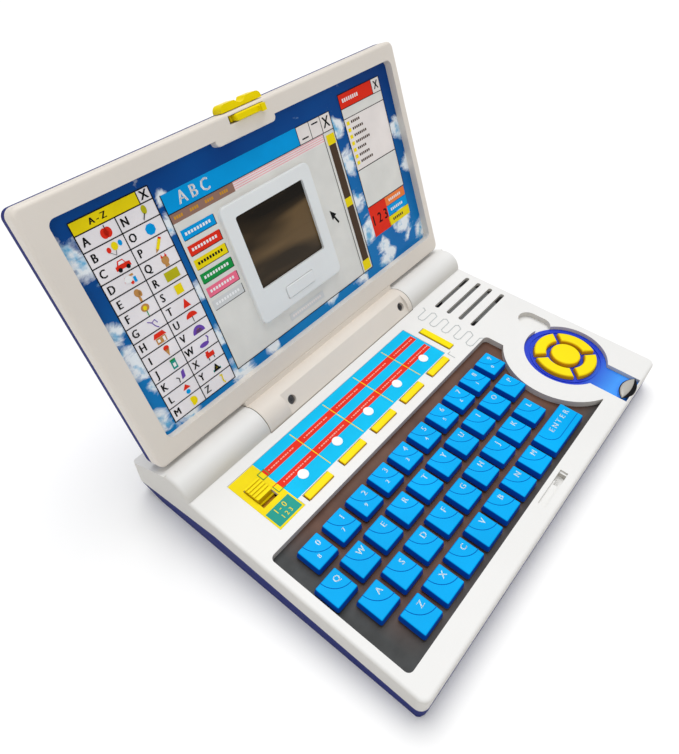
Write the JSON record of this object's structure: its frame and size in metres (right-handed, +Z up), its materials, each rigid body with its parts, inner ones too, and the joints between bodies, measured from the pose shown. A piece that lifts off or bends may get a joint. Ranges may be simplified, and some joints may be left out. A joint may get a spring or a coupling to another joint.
{
  "type": "toy laptop computer",
  "caption": "Hinged play laptop: wedge base with sprung keys, thumb pad, picture buttons and speaker, and a lid with a small screen in a printed card.",
  "frame": {"origin": "on the table under the middle of the open toy", "axes": "+X to the user's right along the keyboard, +Y away from the user, +Z up from the table"},
  "size_m": [0.27, 0.233, 0.1852],
  "materials": {
    "white_plastic": "moulded, soft gloss",
    "navy_plastic": "moulded, soft gloss",
    "cyan_plastic": "moulded, satin",
    "blue_plastic": "moulded, gloss",
    "yellow_plastic": "moulded, satin",
    "yellow_rubber": "silicone, matt",
    "plate_plastic": "moulded, matt",
    "grey_rubber": "silicone, matt",
    "board_green": "lacquered board",
    "speaker_black": "paper cone and frame",
    "cell_wrap": "wrapped cell",
    "screw_steel": "plated",
    "printed_card": "printed",
    "silver_plastic": "painted silver",
    "dark_window": "smoked window, gloss"
  },
  "bodies": {
    "base": {"upper_case": "white_plastic", "lower_case": "navy_plastic", "battery_door": "navy_plastic", "batteries": "cell_wrap", "case_screws": "screw_steel", "key_plate": "plate_plastic", "rubber_mat": "grey_rubber", "circuit_board": "board_green", "speaker": "speaker_black", "dpad_housing": "blue_plastic"},
    "lid": {"lid_front": "white_plastic", "lid_back": "navy_plastic", "screen_card": "printed_card", "lcd_frame": "silver_plastic", "lcd_window": "dark_window", "lid_screws": "screw_steel"},
    "latch_body": {"latch": "yellow_plastic"},
    "slider_body": {"mode_slider": "yellow_plastic"},
    "contrast_body": {"contrast_button": "silver_plastic"},
    "power_body": {"power_button": "yellow_plastic"},
    "mode_body": {"mode_buttons": "yellow_rubber"},
    "direction_body": {"direction_buttons": "yellow_rubber"},
    "centre_body": {"centre_button": "yellow_rubber"},
    "key_0_body": {"key_0": "cyan_plastic"},
    "key_1_body": {"key_1": "cyan_plastic"},
    "key_2_body": {"key_2": "cyan_plastic"},
    "key_3_body": {"key_3": "cyan_plastic"},
    "key_4_body": {"key_4": "cyan_plastic"},
    "key_5_body": {"key_5": "cyan_plastic"},
    "key_6_body": {"key_6": "cyan_plastic"},
    "key_7_body": {"key_7": "cyan_plastic"},
    "key_8_body": {"key_8": "cyan_plastic"},
    "key_9_body": {"key_9": "cyan_plastic"},
    "key_q_body": {"key_q": "cyan_plastic"},
    "key_w_body": {"key_w": "cyan_plastic"},
    "key_e_body": {"key_e": "cyan_plastic"},
    "key_r_body": {"key_r": "cyan_plastic"},
    "key_t_body": {"key_t": "cyan_plastic"},
    "key_y_body": {"key_y": "cyan_plastic"},
    "key_u_body": {"key_u": "cyan_plastic"},
    "key_i_body": {"key_i": "cyan_plastic"},
    "key_o_body": {"key_o": "cyan_plastic"},
    "key_p_body": {"key_p": "cyan_plastic"},
    "key_a_body": {"key_a": "cyan_plastic"},
    "key_s_body": {"key_s": "cyan_plastic"},
    "key_d_body": {"key_d": "cyan_plastic"},
    "key_f_body": {"key_f": "cyan_plastic"},
    "key_g_body": {"key_g": "cyan_plastic"},
    "key_h_body": {"key_h": "cyan_plastic"},
    "key_j_body": {"key_j": "cyan_plastic"},
    "key_k_body": {"key_k": "cyan_plastic"},
    "key_l_body": {"key_l": "cyan_plastic"},
    "key_z_body": {"key_z": "cyan_plastic"},
    "key_x_body": {"key_x": "cyan_plastic"},
    "key_c_body": {"key_c": "cyan_plastic"},
    "key_v_body": {"key_v": "cyan_plastic"},
    "key_b_body": {"key_b": "cyan_plastic"},
    "key_n_body": {"key_n": "cyan_plastic"},
    "key_m_body": {"key_m": "cyan_plastic"},
    "key_enter_body": {"key_enter": "cyan_plastic"}
  },
  "joints": [
    {"name": "lid_hinge", "type": "hinge", "parent": "base", "child": "lid", "pos_m": [0, 0.04694, 0.03198], "axis": [-1, 0, 0], "range_deg": [-113.2, 0]},
    {"name": "latch_slide", "type": "slide", "parent": "lid", "child": "latch_body", "axis": [1, 0, 0], "range_m": [-0.0035, 0]},
    {"name": "mode_slide", "type": "slide", "parent": "base", "child": "slider_body", "axis": [0, -0.9976, -0.0698], "range_m": [0, 0.004]},
    {"name": "contrast_press", "type": "slide", "parent": "lid", "child": "contrast_body", "axis": [0, 0.9444, -0.3289], "range_m": [0, 0.0006], "stiffness_N_per_m": 200, "springref_m": -0.0006},
    {"name": "power_press", "type": "slide", "parent": "base", "child": "power_body", "axis": [0, 0.0698, -0.9976], "range_m": [0, 0.001], "stiffness_N_per_m": 200, "springref_m": -0.0006},
    {"name": "mode_press", "type": "slide", "parent": "base", "child": "mode_body", "axis": [0, 0.0698, -0.9976], "range_m": [0, 0.001], "stiffness_N_per_m": 200, "springref_m": -0.0006},
    {"name": "direction_press", "type": "slide", "parent": "base", "child": "direction_body", "axis": [0, 0.0698, -0.9976], "range_m": [0, 0.001], "stiffness_N_per_m": 200, "springref_m": -0.0006},
    {"name": "centre_press", "type": "slide", "parent": "base", "child": "centre_body", "axis": [0, 0.0698, -0.9976], "range_m": [0, 0.001], "stiffness_N_per_m": 200, "springref_m": -0.0006},
    {"name": "key_0_press", "type": "slide", "parent": "base", "child": "key_0_body", "axis": [0, 0.0698, -0.9976], "range_m": [0, 0.0014], "stiffness_N_per_m": 200, "springref_m": -0.0006},
    {"name": "key_1_press", "type": "slide", "parent": "base", "child": "key_1_body", "axis": [0, 0.0698, -0.9976], "range_m": [0, 0.0014], "stiffness_N_per_m": 200, "springref_m": -0.0006},
    {"name": "key_2_press", "type": "slide", "parent": "base", "child": "key_2_body", "axis": [0, 0.0698, -0.9976], "range_m": [0, 0.0014], "stiffness_N_per_m": 200, "springref_m": -0.0006},
    {"name": "key_3_press", "type": "slide", "parent": "base", "child": "key_3_body", "axis": [0, 0.0698, -0.9976], "range_m": [0, 0.0014], "stiffness_N_per_m": 200, "springref_m": -0.0006},
    {"name": "key_4_press", "type": "slide", "parent": "base", "child": "key_4_body", "axis": [0, 0.0698, -0.9976], "range_m": [0, 0.0014], "stiffness_N_per_m": 200, "springref_m": -0.0006},
    {"name": "key_5_press", "type": "slide", "parent": "base", "child": "key_5_body", "axis": [0, 0.0698, -0.9976], "range_m": [0, 0.0014], "stiffness_N_per_m": 200, "springref_m": -0.0006},
    {"name": "key_6_press", "type": "slide", "parent": "base", "child": "key_6_body", "axis": [0, 0.0698, -0.9976], "range_m": [0, 0.0014], "stiffness_N_per_m": 200, "springref_m": -0.0006},
    {"name": "key_7_press", "type": "slide", "parent": "base", "child": "key_7_body", "axis": [0, 0.0698, -0.9976], "range_m": [0, 0.0014], "stiffness_N_per_m": 200, "springref_m": -0.0006},
    {"name": "key_8_press", "type": "slide", "parent": "base", "child": "key_8_body", "axis": [0, 0.0698, -0.9976], "range_m": [0, 0.0014], "stiffness_N_per_m": 200, "springref_m": -0.0006},
    {"name": "key_9_press", "type": "slide", "parent": "base", "child": "key_9_body", "axis": [0, 0.0698, -0.9976], "range_m": [0, 0.0014], "stiffness_N_per_m": 200, "springref_m": -0.0006},
    {"name": "key_q_press", "type": "slide", "parent": "base", "child": "key_q_body", "axis": [0, 0.0698, -0.9976], "range_m": [0, 0.0014], "stiffness_N_per_m": 200, "springref_m": -0.0006},
    {"name": "key_w_press", "type": "slide", "parent": "base", "child": "key_w_body", "axis": [0, 0.0698, -0.9976], "range_m": [0, 0.0014], "stiffness_N_per_m": 200, "springref_m": -0.0006},
    {"name": "key_e_press", "type": "slide", "parent": "base", "child": "key_e_body", "axis": [0, 0.0698, -0.9976], "range_m": [0, 0.0014], "stiffness_N_per_m": 200, "springref_m": -0.0006},
    {"name": "key_r_press", "type": "slide", "parent": "base", "child": "key_r_body", "axis": [0, 0.0698, -0.9976], "range_m": [0, 0.0014], "stiffness_N_per_m": 200, "springref_m": -0.0006},
    {"name": "key_t_press", "type": "slide", "parent": "base", "child": "key_t_body", "axis": [0, 0.0698, -0.9976], "range_m": [0, 0.0014], "stiffness_N_per_m": 200, "springref_m": -0.0006},
    {"name": "key_y_press", "type": "slide", "parent": "base", "child": "key_y_body", "axis": [0, 0.0698, -0.9976], "range_m": [0, 0.0014], "stiffness_N_per_m": 200, "springref_m": -0.0006},
    {"name": "key_u_press", "type": "slide", "parent": "base", "child": "key_u_body", "axis": [0, 0.0698, -0.9976], "range_m": [0, 0.0014], "stiffness_N_per_m": 200, "springref_m": -0.0006},
    {"name": "key_i_press", "type": "slide", "parent": "base", "child": "key_i_body", "axis": [0, 0.0698, -0.9976], "range_m": [0, 0.0014], "stiffness_N_per_m": 200, "springref_m": -0.0006},
    {"name": "key_o_press", "type": "slide", "parent": "base", "child": "key_o_body", "axis": [0, 0.0698, -0.9976], "range_m": [0, 0.0014], "stiffness_N_per_m": 200, "springref_m": -0.0006},
    {"name": "key_p_press", "type": "slide", "parent": "base", "child": "key_p_body", "axis": [0, 0.0698, -0.9976], "range_m": [0, 0.0014], "stiffness_N_per_m": 200, "springref_m": -0.0006},
    {"name": "key_a_press", "type": "slide", "parent": "base", "child": "key_a_body", "axis": [0, 0.0698, -0.9976], "range_m": [0, 0.0014], "stiffness_N_per_m": 200, "springref_m": -0.0006},
    {"name": "key_s_press", "type": "slide", "parent": "base", "child": "key_s_body", "axis": [0, 0.0698, -0.9976], "range_m": [0, 0.0014], "stiffness_N_per_m": 200, "springref_m": -0.0006},
    {"name": "key_d_press", "type": "slide", "parent": "base", "child": "key_d_body", "axis": [0, 0.0698, -0.9976], "range_m": [0, 0.0014], "stiffness_N_per_m": 200, "springref_m": -0.0006},
    {"name": "key_f_press", "type": "slide", "parent": "base", "child": "key_f_body", "axis": [0, 0.0698, -0.9976], "range_m": [0, 0.0014], "stiffness_N_per_m": 200, "springref_m": -0.0006},
    {"name": "key_g_press", "type": "slide", "parent": "base", "child": "key_g_body", "axis": [0, 0.0698, -0.9976], "range_m": [0, 0.0014], "stiffness_N_per_m": 200, "springref_m": -0.0006},
    {"name": "key_h_press", "type": "slide", "parent": "base", "child": "key_h_body", "axis": [0, 0.0698, -0.9976], "range_m": [0, 0.0014], "stiffness_N_per_m": 200, "springref_m": -0.0006},
    {"name": "key_j_press", "type": "slide", "parent": "base", "child": "key_j_body", "axis": [0, 0.0698, -0.9976], "range_m": [0, 0.0014], "stiffness_N_per_m": 200, "springref_m": -0.0006},
    {"name": "key_k_press", "type": "slide", "parent": "base", "child": "key_k_body", "axis": [0, 0.0698, -0.9976], "range_m": [0, 0.0014], "stiffness_N_per_m": 200, "springref_m": -0.0006},
    {"name": "key_l_press", "type": "slide", "parent": "base", "child": "key_l_body", "axis": [0, 0.0698, -0.9976], "range_m": [0, 0.0014], "stiffness_N_per_m": 200, "springref_m": -0.0006},
    {"name": "key_z_press", "type": "slide", "parent": "base", "child": "key_z_body", "axis": [0, 0.0698, -0.9976], "range_m": [0, 0.0014], "stiffness_N_per_m": 200, "springref_m": -0.0006},
    {"name": "key_x_press", "type": "slide", "parent": "base", "child": "key_x_body", "axis": [0, 0.0698, -0.9976], "range_m": [0, 0.0014], "stiffness_N_per_m": 200, "springref_m": -0.0006},
    {"name": "key_c_press", "type": "slide", "parent": "base", "child": "key_c_body", "axis": [0, 0.0698, -0.9976], "range_m": [0, 0.0014], "stiffness_N_per_m": 200, "springref_m": -0.0006},
    {"name": "key_v_press", "type": "slide", "parent": "base", "child": "key_v_body", "axis": [0, 0.0698, -0.9976], "range_m": [0, 0.0014], "stiffness_N_per_m": 200, "springref_m": -0.0006},
    {"name": "key_b_press", "type": "slide", "parent": "base", "child": "key_b_body", "axis": [0, 0.0698, -0.9976], "range_m": [0, 0.0014], "stiffness_N_per_m": 200, "springref_m": -0.0006},
    {"name": "key_n_press", "type": "slide", "parent": "base", "child": "key_n_body", "axis": [0, 0.0698, -0.9976], "range_m": [0, 0.0014], "stiffness_N_per_m": 200, "springref_m": -0.0006},
    {"name": "key_m_press", "type": "slide", "parent": "base", "child": "key_m_body", "axis": [0, 0.0698, -0.9976], "range_m": [0, 0.0014], "stiffness_N_per_m": 200, "springref_m": -0.0006},
    {"name": "key_enter_press", "type": "slide", "parent": "base", "child": "key_enter_body", "axis": [0, 0.0698, -0.9976], "range_m": [0, 0.0014], "stiffness_N_per_m": 200, "springref_m": -0.0006}
  ]
}
